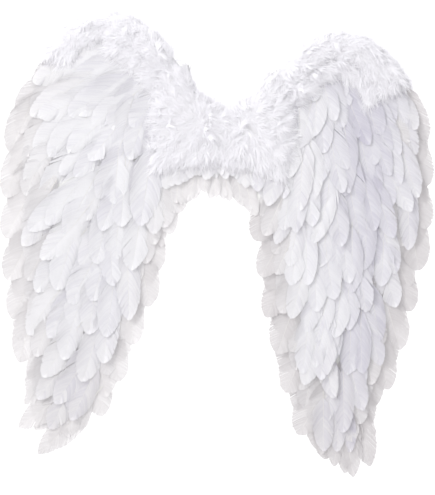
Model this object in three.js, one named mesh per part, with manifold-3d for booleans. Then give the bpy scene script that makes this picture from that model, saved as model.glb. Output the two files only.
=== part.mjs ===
// Feathered costume wings, worn on the back like a small rucksack.
//
// Each wing is a closed loop of steel wire between a stiff backing and a felt lining, with rows of
// feathers glued to the backing like roof shingles and two bands of fluff along the leading edge.
// The straight root of each wire loop turns in a fabric sleeve on the centre board, so the wings
// fold. Two elastic shoulder straps are sewn to the centre board above and below the back pad.
//
// Millimetres. +Z is up, +X is the wearer's right, the feathers face -Y and the wearer stands on
// the +Y side. The origin is the middle of the back pad's outer face.

import * as THREE from "three";
import { mergeVertices } from "three/addons/utils/BufferGeometryUtils.js";
import Module from "manifold-3d";

const wasm = await Module();
wasm.setup();

// ---- Driving dimensions ------------------------------------------------------------------------

const GAP = 0.3; // left between two pieces that touch
const RUN_CLEARANCE = 0.3; // radial, between the turning wire and what holds it

const PAD = { width: 84, height: 64, thickness: 6.2, corner: 14, bevel: 1.2 };
const PATCH = { height: 11, thickness: 4.2, corner: 3, margin: 1 };
const BOARD = { thickness: 3, corner: 6 };

const HINGE_X = 54; // from the middle to each wing's straight wire root
const WIRE_RADIUS = 1.6;
const WIRE_SIDES = 8;
const WIRE_STEPS = 76;
const SLEEVE = { height: 68, wall: 1.5 };
const CRIMP = { height: 16, wall: 0.9, below: 4, slit: 2 };
const ROOT_SPARE = { top: 10, foot: 4 }; // straight wire past the sleeve and past the crimp

const BACKING = { thickness: 2, lip: 7 }; // the lip is how far it reaches past the wire
const LINING = { thickness: 1.5, lip: 5 };
const ROOT_CLEAR = 6; // from the hinge line to the nearest fabric or feather of a wing

const STRAP = { width: 20, thickness: 1.5, x: 28, rise: 15, depth: 108, droop: 30 };

const FLIGHT = { thickness: 2, width: 38, spacing: 27, inside: 22, sweep: 0.75, pastTip: 14 };
const REACH = { up: 30, out: 50, inner: 40, down: 68 }; // of feathers past the wire, by side
const ROOT_REACH = 0.35; // share of that reach left at the hinge
const ROOT_TAPER = 60; // the distance from the hinge over which the reach grows to full

const ROWS = { count: 10, pitch: 56, length: 116, thickness: 2.6, scallop: 15, top: 128 };
const ROW_INSET = 9; // between the rows' sides and the tips of the flight feathers
const ROW_FEATHER = 38; // width of one feather in a row

const FLUFF = { depth: 22, bevel: 6, outside: 30, inside: 20, start: -0.05, end: 0.24 };
const COVERT = { depth: 16, bevel: 4, width: 32 };

const CENTRE = { halfWidth: 36, thickness: 2.4, feather: 24, scallop: 8 };
const CENTRE_FLUFF = { bottom: -20, top: 57, depth: 18, bevel: 5, corner: 12 };
const CENTRE_ROWS = [
  { name: "centre_feathers_lower", length: 66, layer: 0 },
  { name: "centre_feathers_upper", length: 34, layer: 1 },
];

// ---- Places that follow from them ---------------------------------------------------------------

const ROOT_TOP = SLEEVE.height / 2 + ROOT_SPARE.top;
const CRIMP_Z = -SLEEVE.height / 2 - CRIMP.below - CRIMP.height / 2;
const ROOT_FOOT = CRIMP_Z - CRIMP.height / 2 - ROOT_SPARE.foot;

const BOARD_BACK_Y = -PAD.thickness - GAP;
const BOARD_FRONT_Y = BOARD_BACK_Y - BOARD.thickness;
const AXIS_Y = BOARD_BACK_Y - BOARD.thickness / 2;
const BACKING_Y = AXIS_Y - WIRE_RADIUS - GAP;
const FLIGHT_Y = BACKING_Y - BACKING.thickness - GAP;
const ROWS_Y = FLIGHT_Y - FLIGHT.thickness - GAP;
const LINING_Y = AXIS_Y + WIRE_RADIUS + GAP + LINING.thickness;

const SLEEVE_BORE = WIRE_RADIUS + RUN_CLEARANCE;
const SLEEVE_RADIUS = SLEEVE_BORE + SLEEVE.wall;
const BOARD_WIDTH = 2 * (HINGE_X - SLEEVE_RADIUS - GAP);
const BOARD_HEIGHT = PAD.height + 2 * (PATCH.height + PATCH.margin);
const PATCH_WIDTH = 2 * (STRAP.x + STRAP.width / 2 + PATCH.margin);
const PATCH_Z = (BOARD_HEIGHT - PATCH.height) / 2;
const STRAP_Y = BOARD_BACK_Y + GAP + PATCH.thickness / 2;

const WING_LEFT = HINGE_X + ROOT_CLEAR;
const COVERT_OUTER = -FLUFF.inside - GAP;
const COVERT_INNER = COVERT_OUTER - COVERT.width;
const ROW_TILT = Math.asin((ROWS.thickness + GAP) / ROWS.pitch);

// The wire loop of the wearer's right wing, from the top of its straight root round the leading
// edge, down the outer edge to the tip and back up the inner edge: [x, z].
const TIP = [236, -462];
const ROOT_SIDE = [102, -138]; // where the flight feathers of the inner edge end
const FRAME_POINTS = [
  [HINGE_X, ROOT_TOP],
  [HINGE_X, ROOT_TOP + 12],
  [68, 92],
  [98, 126],
  [128, 153],
  [162, 171],
  [198, 173],
  [234, 156],
  [266, 122],
  [288, 74],
  [299, 10],
  [303, -70],
  [296, -150],
  [285, -230],
  [271, -310],
  [254, -385],
  [245, -438],
  TIP,
  [210, -442],
  [177, -384],
  [153, -315],
  [134, -250],
  [119, -190],
  ROOT_SIDE,
  [74, -98],
  [HINGE_X, ROOT_FOOT - 12],
  [HINGE_X, ROOT_FOOT],
];

// ---- Materials -----------------------------------------------------------------------------------

const colour = (r, g, b, roughness, metalness = 0) =>
  new THREE.MeshStandardMaterial({ color: new THREE.Color(r, g, b), roughness, metalness });
const FLIGHT_FEATHER = colour(0.86, 0.84, 0.84, 0.7);
const COVERT_FEATHER = colour(0.9, 0.89, 0.92, 0.7);
const DOWN = colour(0.93, 0.92, 0.94, 0.95);
const FELT = colour(0.9, 0.9, 0.89, 0.95);
const FOAM_BOARD = colour(0.93, 0.93, 0.92, 0.6);
const STEEL = colour(0.62, 0.63, 0.65, 0.35, 1);
const ELASTIC = colour(0.92, 0.92, 0.91, 0.8);
const COTTON = colour(0.9, 0.89, 0.86, 0.9);

// ---- Helpers -------------------------------------------------------------------------------------

function named(name, geometry, material, x = 0, y = 0, z = 0) {
  const mesh = new THREE.Mesh(geometry, material);
  mesh.name = name;
  mesh.position.set(x, y, z);
  return mesh;
}

// A plate from a shape drawn in x and z, with its wearer's side at y = 0 and its thickness to -Y.
function plate(shape, thickness, bevel = 0) {
  const geometry = new THREE.ExtrudeGeometry(shape, {
    depth: thickness - 2 * bevel,
    curveSegments: 4,
    steps: 1,
    bevelEnabled: bevel > 0,
    bevelThickness: bevel,
    bevelSize: bevel,
    bevelOffset: -bevel,
    bevelSegments: 1,
  });
  return geometry.translate(0, 0, bevel).rotateX(Math.PI / 2);
}

function roundedRectangle(width, height, corner) {
  const x = width / 2;
  const z = height / 2;
  const shape = new THREE.Shape();
  shape.moveTo(corner - x, -z).lineTo(x - corner, -z);
  shape.absarc(x - corner, corner - z, corner, -Math.PI / 2, 0);
  shape.lineTo(x, z - corner).absarc(x - corner, z - corner, corner, 0, Math.PI / 2);
  shape.lineTo(corner - x, z).absarc(corner - x, z - corner, corner, Math.PI / 2, Math.PI);
  shape.lineTo(-x, corner - z).absarc(corner - x, corner - z, corner, Math.PI, Math.PI * 1.5);
  return shape;
}

// A round tube along z, centred on its own middle.
function tube(bore, radius, height) {
  const profile = [
    [bore, -height / 2],
    [radius, -height / 2],
    [radius, height / 2],
    [bore, height / 2],
    [bore, -height / 2],
  ].map(([r, z]) => new THREE.Vector2(r, z));
  return new THREE.LatheGeometry(profile, 16).rotateX(Math.PI / 2);
}

// Between a geometry and a solid that can be joined and cut.
function solidOf(geometry) {
  const bare = new THREE.BufferGeometry();
  bare.setAttribute("position", geometry.getAttribute("position"));
  const merged = mergeVertices(bare, 1e-3);
  return new wasm.Manifold(
    new wasm.Mesh({
      numProp: 3,
      vertProperties: new Float32Array(merged.attributes.position.array),
      triVerts: new Uint32Array(merged.index.array),
    }),
  );
}

function geometryOf(solid) {
  const mesh = largestPiece(solid).getMesh();
  const geometry = new THREE.BufferGeometry();
  geometry.setAttribute("position", new THREE.BufferAttribute(mesh.vertProperties, 3));
  geometry.setIndex(new THREE.BufferAttribute(mesh.triVerts, 1));
  return geometry;
}

function largestPiece(solid) {
  return solid.decompose().sort((a, b) => b.volume() - a.volume())[0];
}

// ---- The wing's outline --------------------------------------------------------------------------

const frameCurve = new THREE.CatmullRomCurve3(
  FRAME_POINTS.map(([x, z]) => new THREE.Vector3(x, 0, z)),
  true,
);
const FRAME_LENGTH = frameCurve.getLength();

// Where the wire's middle runs at a share of the loop, and the direction out of the loop there.
function onFrame(share) {
  const around = (share + 1) % 1;
  const point = frameCurve.getPointAt(around);
  const along = frameCurve.getTangentAt(around);
  return { x: point.x, z: point.z, outX: -along.z, outZ: along.x };
}

// The share of the loop's length at which the wire passes nearest to a point.
function shareNear([x, z]) {
  const target = new THREE.Vector3(x, 0, z);
  const shares = Array.from({ length: 1500 }, (_, i) => i / 1500);
  const far = shares.map((share) => frameCurve.getPointAt(share).distanceTo(target));
  return shares[far.indexOf(Math.min(...far))];
}

function reachAt({ x, outX, outZ }) {
  const side = outX > 0 ? REACH.out : REACH.inner;
  const end = outZ > 0 ? REACH.up : REACH.down;
  const fromHinge = THREE.MathUtils.clamp((x - HINGE_X) / ROOT_TAPER, 0, 1);
  return (side * outX ** 2 + end * outZ ** 2) * (ROOT_REACH + (1 - ROOT_REACH) * fromHinge);
}

// Points beside the wire from one share of the loop to another, at a distance out of the loop.
function beside(start, end, steps, distance) {
  return Array.from({ length: steps + 1 }, (_, i) => {
    const place = onFrame(start + ((end - start) * i) / steps);
    const far = distance(place);
    return new THREE.Vector2(place.x + place.outX * far, place.z + place.outZ * far);
  });
}

// The whole outline at a distance from the wire, kept clear of the hinge line.
function outlineShape(distance) {
  const points = beside(0, 1, 90, distance).slice(0, -1);
  return new THREE.Shape(points.map((p) => new THREE.Vector2(Math.max(p.x, WING_LEFT), p.y)));
}

// A band along the leading edge, between two distances from the wire.
function leadingBand(start, end, outer, inner) {
  return new THREE.Shape([
    ...beside(start, end, 22, () => outer),
    ...beside(start, end, 22, () => inner).reverse(),
  ]);
}

// ---- Centre --------------------------------------------------------------------------------------

function centreBoard() {
  const shape = roundedRectangle(BOARD_WIDTH, BOARD_HEIGHT, BOARD.corner);
  return named("centre_board", plate(shape, BOARD.thickness), FOAM_BOARD, 0, BOARD_BACK_Y, 0);
}

function backPad() {
  const shape = roundedRectangle(PAD.width, PAD.height, PAD.corner);
  return named("back_pad", plate(shape, PAD.thickness, PAD.bevel), FELT);
}

function spineSleeve(side, x) {
  const geometry = tube(SLEEVE_BORE, SLEEVE_RADIUS, SLEEVE.height);
  return named(`${side}_spine_sleeve`, geometry, COTTON, x, AXIS_Y, 0);
}

function strapPatch(name, z) {
  const shape = roundedRectangle(PATCH_WIDTH, PATCH.height, PATCH.corner);
  const y = BOARD_BACK_Y + GAP + PATCH.thickness;
  return named(name, plate(shape, PATCH.thickness), FELT, 0, y, z);
}

// A strip of feathers that hangs from z = 0 between two sides, with a scalloped lower edge.
function scallopedStrip(left, right, length, width, depth) {
  const count = Math.round((right - left) / width);
  const step = (right - left) / count;
  const shape = new THREE.Shape().moveTo(left, 0);
  shape.lineTo(left, depth - length);
  for (let i = 0; i < count; i++) {
    const x = left + i * step;
    shape.quadraticCurveTo(x + step / 2, -length - depth, x + step, depth - length);
  }
  return shape.lineTo(right, 0);
}

function centreRow({ name, length, layer }) {
  const half = CENTRE.halfWidth;
  const strip = scallopedStrip(-half, half, length, CENTRE.feather, CENTRE.scallop);
  const y = BOARD_FRONT_Y - GAP - layer * (CENTRE.thickness + GAP);
  const top = CENTRE_FLUFF.bottom - GAP;
  return named(name, plate(strip, CENTRE.thickness), COVERT_FEATHER, 0, y, top);
}

function centreFluff() {
  const { bottom, top, corner, depth, bevel } = CENTRE_FLUFF;
  const shape = roundedRectangle(2 * CENTRE.halfWidth, top - bottom, corner);
  const y = BOARD_FRONT_Y - GAP;
  return named("centre_fluff", plate(shape, depth, bevel), DOWN, 0, y, (top + bottom) / 2);
}

// ---- Straps --------------------------------------------------------------------------------------

// The middle of one strap's band, in y and z, from its upper sewn end to its lower one.
function strapPath() {
  const end = BOARD_HEIGHT / 2 + GAP;
  const { rise, depth, droop } = STRAP;
  return new THREE.SplineCurve(
    [
      [STRAP_Y, end],
      [STRAP_Y + 1, end + rise * 0.6],
      [STRAP_Y + 14, end + rise],
      [STRAP_Y + 46, end + rise * 0.4],
      [depth * 0.82, 14],
      [depth, -droop],
      [depth * 0.84, -droop - 34],
      [depth * 0.5, -end - 26],
      [STRAP_Y + 15, -end - 22],
      [STRAP_Y + 1, -end - 11],
      [STRAP_Y, -end],
    ].map(([y, z]) => new THREE.Vector2(y, z)),
  );
}

function strap(side, x) {
  const path = strapPath();
  const steps = 40;
  const edge = (offset) =>
    Array.from({ length: steps + 1 }, (_, i) => {
      const along = path.getTangentAt(i / steps);
      const point = path.getPointAt(i / steps);
      return new THREE.Vector2(point.x - along.y * offset, point.y + along.x * offset);
    });
  const half = STRAP.thickness / 2;
  const shape = new THREE.Shape([...edge(half), ...edge(-half).reverse()]);
  const geometry = new THREE.ExtrudeGeometry(shape, { depth: STRAP.width, bevelEnabled: false });
  geometry.translate(0, 0, -STRAP.width / 2);
  const fromDrawing = new THREE.Matrix4().makeBasis(
    new THREE.Vector3(0, 1, 0),
    new THREE.Vector3(0, 0, 1),
    new THREE.Vector3(1, 0, 0),
  );
  return named(`${side}_shoulder_strap`, geometry.applyMatrix4(fromDrawing), ELASTIC, x, 0, 0);
}

// ---- Wings, drawn on the wearer's right; the left one is its mirror image -------------------------

// The loop starts and ends inside the crimp at the foot of the straight root.
function frameWire(side) {
  const splice = 1 - (ROOT_TOP - CRIMP_Z) / FRAME_LENGTH;
  const half = CRIMP.slit / 2 / FRAME_LENGTH;
  const points = Array.from({ length: WIRE_STEPS + 1 }, (_, i) => {
    const { x, z } = onFrame(splice + half + ((1 - 2 * half) * i) / WIRE_STEPS);
    return new THREE.Vector3(x, 0, z);
  });
  const section = new THREE.Shape(
    Array.from({ length: WIRE_SIDES }, (_, i) => {
      const angle = (2 * Math.PI * i) / WIRE_SIDES;
      return new THREE.Vector2(WIRE_RADIUS * Math.cos(angle), WIRE_RADIUS * Math.sin(angle));
    }),
  );
  const geometry = new THREE.ExtrudeGeometry(section, {
    steps: WIRE_STEPS,
    extrudePath: new THREE.CatmullRomCurve3(points),
    bevelEnabled: false,
  });
  return named(`${side}_frame_wire`, geometry, STEEL, 0, AXIS_Y, 0);
}

function frameCrimp(side) {
  const geometry = tube(SLEEVE_BORE, SLEEVE_BORE + CRIMP.wall, CRIMP.height);
  return named(`${side}_frame_crimp`, geometry, STEEL, HINGE_X, AXIS_Y, CRIMP_Z);
}

function wingBacking(side) {
  const geometry = plate(outlineShape(() => BACKING.lip), BACKING.thickness);
  return named(`${side}_wing_backing`, geometry, FOAM_BOARD, 0, BACKING_Y, 0);
}

function wingLining(side) {
  const geometry = plate(outlineShape(() => LINING.lip), LINING.thickness);
  return named(`${side}_wing_lining`, geometry, FELT, 0, LINING_Y, 0);
}

// One feather, with its quill at the origin and its tip at z = -length.
function featherShape(length, width) {
  const root = width * 0.3;
  const side = width * 0.62;
  const shape = new THREE.Shape().moveTo(root, 0).lineTo(-root, 0);
  shape.bezierCurveTo(-side, -0.3 * length, -side, -0.82 * length, 0, -length);
  shape.bezierCurveTo(side, -0.82 * length, side, -0.3 * length, root, 0);
  return shape;
}

// One feather of the flat layer that stands out past the wire, swept down towards the wing's tip.
function flightFeather(place) {
  const out = new THREE.Vector2(place.outX, place.outZ);
  const aim = out.clone().add(new THREE.Vector2(0, -FLIGHT.sweep)).normalize();
  const length = FLIGHT.inside + reachAt(place) / Math.max(out.dot(aim), 0.6);
  const geometry = plate(featherShape(length, FLIGHT.width), FLIGHT.thickness);
  geometry.rotateY(-Math.atan2(aim.x, -aim.y));
  const quill = [place.x - aim.x * FLIGHT.inside, place.z - aim.y * FLIGHT.inside];
  return solidOf(geometry.translate(quill[0], 0, quill[1]));
}

function flightLayer(start, end) {
  const count = Math.round(((end - start) * FRAME_LENGTH) / FLIGHT.spacing);
  const places = Array.from({ length: count }, (_, i) =>
    onFrame(start + ((end - start) * (i + 0.5)) / count),
  );
  const joined = places.map(flightFeather).reduce((all, feather) => all.add(feather));
  return joined.trimByPlane([1, 0, 0], WING_LEFT);
}

// The outer and the inner edge's feathers meet along a line just past the wing's tip.
function flightFeathers(side) {
  const meet = shareNear(TIP) + FLIGHT.pastTip / FRAME_LENGTH;
  const seam = TIP[0] - FLIGHT.pastTip;
  const outer = flightLayer(FLUFF.end + 0.012, meet).trimByPlane([1, 0, 0], seam + GAP / 2);
  const inner = flightLayer(meet, shareNear(ROOT_SIDE)).trimByPlane([-1, 0, 0], GAP / 2 - seam);
  const layer = (edge, solid) =>
    named(`${side}_${edge}_flight_feathers`, geometryOf(solid), FLIGHT_FEATHER, 0, FLIGHT_Y, 0);
  return [layer("outer", outer), layer("inner", inner)];
}

// A band of fluff along the leading edge and down the root, mitred so that the wing can close.
function fluffBand(name, outer, inner, { depth, bevel }) {
  const shape = leadingBand(FLUFF.start, FLUFF.end, outer, inner);
  const whole = solidOf(plate(shape, depth, bevel));
  const mitred = whole.trimByPlane([1, 1, 0], WING_LEFT / Math.SQRT2);
  const clear = mitred.trimByPlane([1, 0, 0], WING_LEFT);
  return named(name, geometryOf(clear), DOWN, 0, FLIGHT_Y, 0);
}

// The rows tile the wing below the fluff. Each lies tilted, root on the backing, over the next.
const CUTTER_DEPTH = 60;
const cutter = (shape) => solidOf(plate(shape, CUTTER_DEPTH).translate(0, CUTTER_DEPTH / 2, 0));
const wingArea = cutter(outlineShape((place) => reachAt(place) - ROW_INSET));
const fluffArea = cutter(
  leadingBand(FLUFF.start - 0.002, FLUFF.end + 0.002, REACH.up + 40, COVERT_INNER - 1),
);

function featherRow(side, index) {
  const top = ROWS.top - (ROWS.count - index) * ROWS.pitch;
  const right = HINGE_X + 8 * ROW_FEATHER;
  const strip = scallopedStrip(HINGE_X, right, ROWS.length, ROW_FEATHER, ROWS.scallop);
  const whole = solidOf(plate(strip, ROWS.thickness).translate(0, 0, top));
  const kept = whole.intersect(wingArea).subtract(fluffArea);
  const geometry = geometryOf(kept).translate(0, 0, -top).rotateX(-ROW_TILT);
  return named(`${side}_feather_row_${index}`, geometry, COVERT_FEATHER, 0, ROWS_Y, top);
}

function wing(side) {
  const group = new THREE.Group();
  group.add(
    frameWire(side),
    frameCrimp(side),
    wingBacking(side),
    wingLining(side),
    ...flightFeathers(side),
    fluffBand(`${side}_leading_fluff`, FLUFF.outside, -FLUFF.inside, FLUFF),
    fluffBand(`${side}_covert_fluff`, COVERT_OUTER, COVERT_INNER, COVERT),
  );
  for (let index = 1; index <= ROWS.count; index++) group.add(featherRow(side, index));
  return group;
}

// ---- Assembly ------------------------------------------------------------------------------------

const leftWing = wing("left");
leftWing.scale.x = -1;

const wings = new THREE.Group();
wings.add(
  centreBoard(),
  backPad(),
  spineSleeve("left", -HINGE_X),
  spineSleeve("right", HINGE_X),
  strapPatch("upper_strap_patch", PATCH_Z),
  strapPatch("lower_strap_patch", -PATCH_Z),
  ...CENTRE_ROWS.map(centreRow),
  centreFluff(),
  strap("left", -STRAP.x),
  strap("right", STRAP.x),
  leftWing,
  wing("right"),
);

export default wings;
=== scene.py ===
"""Feathered costume wings: the looks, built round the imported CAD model.

Every feather is a quill with two vanes of barb strips. The fluff is thousands of thin barbs that
grow from soft lumpy cores. Felt, elastic, stitches and tape are made for the worn side. Lengths are
metres, in the CAD model's frame: +Z up, feathers towards -Y, the wearer on the +Y side.
"""

import math

import bpy
import numpy as np
from mathutils import Matrix, Vector
from mathutils.geometry import delaunay_2d_cdt


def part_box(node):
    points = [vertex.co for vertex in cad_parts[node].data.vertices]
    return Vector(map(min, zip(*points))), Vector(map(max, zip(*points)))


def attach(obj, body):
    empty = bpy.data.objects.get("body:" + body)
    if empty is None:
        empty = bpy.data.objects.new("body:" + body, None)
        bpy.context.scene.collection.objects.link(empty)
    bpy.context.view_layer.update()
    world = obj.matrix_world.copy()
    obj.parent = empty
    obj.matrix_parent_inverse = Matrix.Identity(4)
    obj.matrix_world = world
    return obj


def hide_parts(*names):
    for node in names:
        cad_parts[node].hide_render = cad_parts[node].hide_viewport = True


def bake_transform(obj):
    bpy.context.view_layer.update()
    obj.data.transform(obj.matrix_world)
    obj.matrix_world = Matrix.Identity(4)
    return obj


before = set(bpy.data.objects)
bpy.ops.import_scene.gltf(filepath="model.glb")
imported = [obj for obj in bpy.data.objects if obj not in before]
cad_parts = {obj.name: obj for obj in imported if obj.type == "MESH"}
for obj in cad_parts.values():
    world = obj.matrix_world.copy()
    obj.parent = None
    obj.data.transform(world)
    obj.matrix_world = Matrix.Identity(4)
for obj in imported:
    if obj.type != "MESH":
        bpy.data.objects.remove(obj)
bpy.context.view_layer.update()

SIDES = {"left": -1, "right": 1}  # the sign of x

# ---- Camera and light ----------------------------------------------------------------------------

SENSOR = 36.0  # mm, fitted to the picture's height
LENS = 110.0  # mm
VIEW_HEIGHT = 0.808  # of the picture, at the wings
VIEW_CENTRE = Vector((0.0075, -0.02, -0.1656))
VIEW_ROLL = math.radians(4.5)
WORLD_STRENGTH = 1.1
KEY_PLACE = (-1.9, -1.3, 1.2)
KEY_SIZE = 0.7
KEY_POWER = 38.0  # watts
KEY_COLOUR = (1.0, 0.995, 0.985)
FLOOR_Z = -1.25  # as far down as a wearer's shoulder blades are above the floor
FLOOR_CORNERS = ((-6, -6), (6, -6), (6, 3.4), (-6, 3.4))


def make_camera():
    data = bpy.data.cameras.new("camera")
    data.lens = LENS
    data.sensor_width = SENSOR
    data.clip_end = 100
    distance = VIEW_HEIGHT * LENS / SENSOR
    camera = bpy.data.objects.new("camera", data)
    bpy.context.scene.collection.objects.link(camera)
    place = Matrix.Translation(VIEW_CENTRE - Vector((0, distance, 0)))
    camera.matrix_world = (
        place @ Matrix.Rotation(math.pi / 2, 4, "X") @ Matrix.Rotation(VIEW_ROLL, 4, "Z")
    )
    bpy.context.scene.camera = camera


def make_key_light():
    data = bpy.data.lights.new("key", "AREA")
    data.size = KEY_SIZE
    data.energy = KEY_POWER
    data.color = KEY_COLOUR
    light = bpy.data.objects.new("key", data)
    light.location = KEY_PLACE
    aim = VIEW_CENTRE - Vector(KEY_PLACE)
    light.rotation_euler = aim.to_track_quat("-Z", "Y").to_euler()
    bpy.context.scene.collection.objects.link(light)


def make_studio():
    world = bpy.data.worlds.new("studio")
    world.use_nodes = True
    background = world.node_tree.nodes["Background"]
    background.inputs["Color"].default_value = (1.0, 1.0, 1.0, 1.0)
    background.inputs["Strength"].default_value = WORLD_STRENGTH
    bpy.context.scene.world = world
    bpy.context.scene.view_settings.view_transform = "Standard"
    make_key_light()
    corners = [(x, y, FLOOR_Z) for x, y in FLOOR_CORNERS]
    paper = plain_material("floor_paper", (0.9, 0.9, 0.9), 0.9)
    mesh_object("floor", corners, [np.array([(0, 1, 2, 3)])], paper)


# ---- Meshes --------------------------------------------------------------------------------------


def mesh_object(name, points, faces, material, shading=None, smooth=False):
    """An object from points and blocks of faces, each block an array of triangles or of quads.

    shading maps attribute names to arrays of one number per point.
    """
    mesh = bpy.data.meshes.new(name)
    listed = [face for block in faces for face in block.tolist()]
    mesh.from_pydata(np.asarray(points).tolist(), [], listed)
    for key, values in (shading or {}).items():
        attribute = mesh.attributes.new(key, "FLOAT", "POINT")
        attribute.data.foreach_set("value", np.asarray(values, np.float32))
    if smooth:
        mesh.polygons.foreach_set("use_smooth", np.ones(len(mesh.polygons), bool))
    mesh.materials.append(material)
    mesh.update()
    found = bpy.data.objects.new(name, mesh)
    bpy.context.scene.collection.objects.link(found)
    return found


class Batch:
    """Many small quad meshes gathered into one, with the shading numbers of their points."""

    KEYS = ("tone", "warm", "quill")

    def __init__(self):
        self.points, self.faces, self.shading = [], [], {key: [] for key in self.KEYS}
        self.count = 0

    def add(self, points, faces, **shading):
        self.points.append(points)
        self.faces.append(faces + self.count)
        self.count += len(points)
        for key in self.KEYS:
            values = shading.get(key, 0.0)
            self.shading[key].append(np.broadcast_to(values, len(points)))

    def build(self, name, material):
        shading = {key: np.concatenate(values) for key, values in self.shading.items()}
        return mesh_object(name, np.concatenate(self.points), self.faces, material, shading, True)


def strip_faces(strips, across, along):
    """Quads of several grids of across by along points, numbered one grid after another."""
    grid = np.arange(across * along).reshape(across, along)
    quads = np.stack([grid[:-1, :-1], grid[:-1, 1:], grid[1:, 1:], grid[1:, :-1]], -1)
    quads = quads.reshape(-1, 4)
    return (quads[None] + (np.arange(strips) * across * along)[:, None, None]).reshape(-1, 4)


# ---- Materials -----------------------------------------------------------------------------------


def plain_material(name, colour, roughness, metallic=0.0):
    material = bpy.data.materials.new(name)
    material.use_nodes = True
    shader = material.node_tree.nodes["Principled BSDF"]
    shader.inputs["Base Color"].default_value = (*colour, 1)
    shader.inputs["Roughness"].default_value = roughness
    shader.inputs["Metallic"].default_value = metallic
    return material


class Nodes:
    """A short way to write a material's node tree."""

    def __init__(self, name, roughness, sheen=0.0, metallic=0.0):
        self.material = plain_material(name, (0.8, 0.8, 0.8), roughness, metallic)
        self.tree = self.material.node_tree
        self.shader = self.tree.nodes["Principled BSDF"]
        self.shader.inputs["Sheen Weight"].default_value = sheen
        self.shader.inputs["Specular IOR Level"].default_value = 0.3

    def new(self, kind, **settings):
        node = self.tree.nodes.new("ShaderNode" + kind)
        for key, value in settings.items():
            setattr(node, key, value)
        return node

    def join(self, source, target):
        self.tree.links.new(source, target)

    def attribute(self, name):
        return self.new("Attribute", attribute_name=name).outputs["Fac"]

    def place(self):
        return self.new("TexCoord").outputs["Object"]

    def noise(self, scale, detail):
        node = self.new("TexNoise")
        node.inputs["Scale"].default_value = scale
        node.inputs["Detail"].default_value = detail
        self.join(self.place(), node.inputs["Vector"])
        return node.outputs["Fac"]

    def waves(self, scale, direction, distortion=0.0):
        node = self.new("TexWave", bands_direction=direction)
        node.inputs["Scale"].default_value = scale
        node.inputs["Distortion"].default_value = distortion
        self.join(self.place(), node.inputs["Vector"])
        return node.outputs["Fac"]

    def ramp(self, factor, low, high):
        """Maps a factor to another; low and high are each a place on it and the value there."""
        node = self.new("ValToRGB")
        for element, (position, value) in zip(node.color_ramp.elements, (low, high)):
            element.position, element.color = position, (value, value, value, 1)
        self.join(factor, node.inputs["Fac"])
        return node.outputs["Color"]

    def mix(self, factor, first, second, blend="MIX"):
        node = self.new("Mix", data_type="RGBA", blend_type=blend)
        for value, socket in ((factor, 0), (first, 6), (second, 7)):
            if isinstance(value, (int, float)):
                node.inputs[socket].default_value = value
            elif isinstance(value, tuple):
                node.inputs[socket].default_value = (*value, 1)
            else:
                self.join(value, node.inputs[socket])
        return node.outputs[2]

    def colour(self, socket):
        self.join(socket, self.shader.inputs["Base Color"])

    def bump(self, height, distance, strength):
        node = self.new("Bump")
        node.inputs["Distance"].default_value = distance
        node.inputs["Strength"].default_value = strength
        self.join(height, node.inputs["Height"])
        self.join(node.outputs["Normal"], self.shader.inputs["Normal"])

    def let_light_through(self, share, colour):
        """Mixes in a translucent shader, for feathers thin enough to glow from behind."""
        glow = self.new("BsdfTranslucent")
        glow.inputs["Color"].default_value = (*colour, 1)
        mixer = self.new("MixShader")
        mixer.inputs["Fac"].default_value = share
        self.join(self.shader.outputs[0], mixer.inputs[1])
        self.join(glow.outputs[0], mixer.inputs[2])
        self.join(mixer.outputs[0], self.tree.nodes["Material Output"].inputs["Surface"])


def feather_material(name, cool, warm, dark, share):
    """Vanes from cool white to warm grey, with an ivory quill and faint barb streaks.

    The warm grey is partly a tint and partly painted shade of thin single-layer feathers. Tone
    darkens towards the dark colour, for random tone and painted shade.
    """
    nodes = Nodes(name, 0.72, sheen=0.25)
    base = nodes.mix(nodes.attribute("warm"), cool, warm)
    # Tone mixes in the dark colour: random tone and painted shade.
    toned = nodes.mix(nodes.attribute("tone"), base, dark)
    faint = nodes.ramp(nodes.noise(420.0, 3.0), (0.3, 0.0), (0.8, 0.1))
    streaked = nodes.mix(faint, toned, (0.6, 0.59, 0.64))
    nodes.colour(nodes.mix(nodes.attribute("quill"), streaked, (0.82, 0.8, 0.77)))
    nodes.let_light_through(share, warm)
    return nodes.material


def down_material():
    nodes = Nodes("down", 0.9, sheen=0.4)
    # Tone darkens the down towards a lavender grey: random tone and painted shade of cores and barb
    # roots.
    nodes.colour(nodes.mix(nodes.attribute("tone"), (0.963, 0.957, 0.978), (0.74, 0.733, 0.79)))
    nodes.let_light_through(0.5, (0.965, 0.96, 0.98))
    return nodes.material


def felt_material(name, colour, shade):
    nodes = Nodes(name, 0.95, sheen=0.3)
    fuzz = nodes.noise(900.0, 4.0)
    cloud = nodes.noise(38.0, 3.0)
    nodes.colour(nodes.mix(cloud, nodes.mix(fuzz, colour, shade), tuple(0.97 * c for c in shade)))
    nodes.bump(fuzz, 0.0004, 0.6)
    return nodes.material


def elastic_material():
    nodes = Nodes("elastic", 0.8, sheen=0.2)
    ribs = nodes.waves(330.0, "X")
    picks = nodes.noise(1300.0, 2.0)
    yarn = nodes.mix(picks, (0.8, 0.8, 0.79), (0.86, 0.86, 0.85))
    # Painted shade: the yarn is darker in the grooves between the ribs.
    nodes.colour(nodes.mix(ribs, (0.66, 0.66, 0.65), yarn))
    nodes.bump(ribs, 0.0004, 0.7)
    return nodes.material


def tape_material():
    nodes = Nodes("cotton_tape", 0.9, sheen=0.2)
    warp = nodes.waves(520.0, "Z", 1.0)
    weft = nodes.waves(520.0, "X", 1.0)
    weave = nodes.mix(1.0, warp, weft, "MULTIPLY")
    # Painted shade: darker in the hollows of the weave.
    nodes.colour(nodes.mix(weave, (0.68, 0.665, 0.63), (0.84, 0.83, 0.79)))
    nodes.bump(weave, 0.0003, 0.6)
    return nodes.material


def board_material():
    nodes = Nodes("foam_board", 0.6)
    nodes.colour(nodes.mix(nodes.noise(60.0, 4.0), (0.84, 0.84, 0.83), (0.78, 0.78, 0.77)))
    return nodes.material


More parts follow.
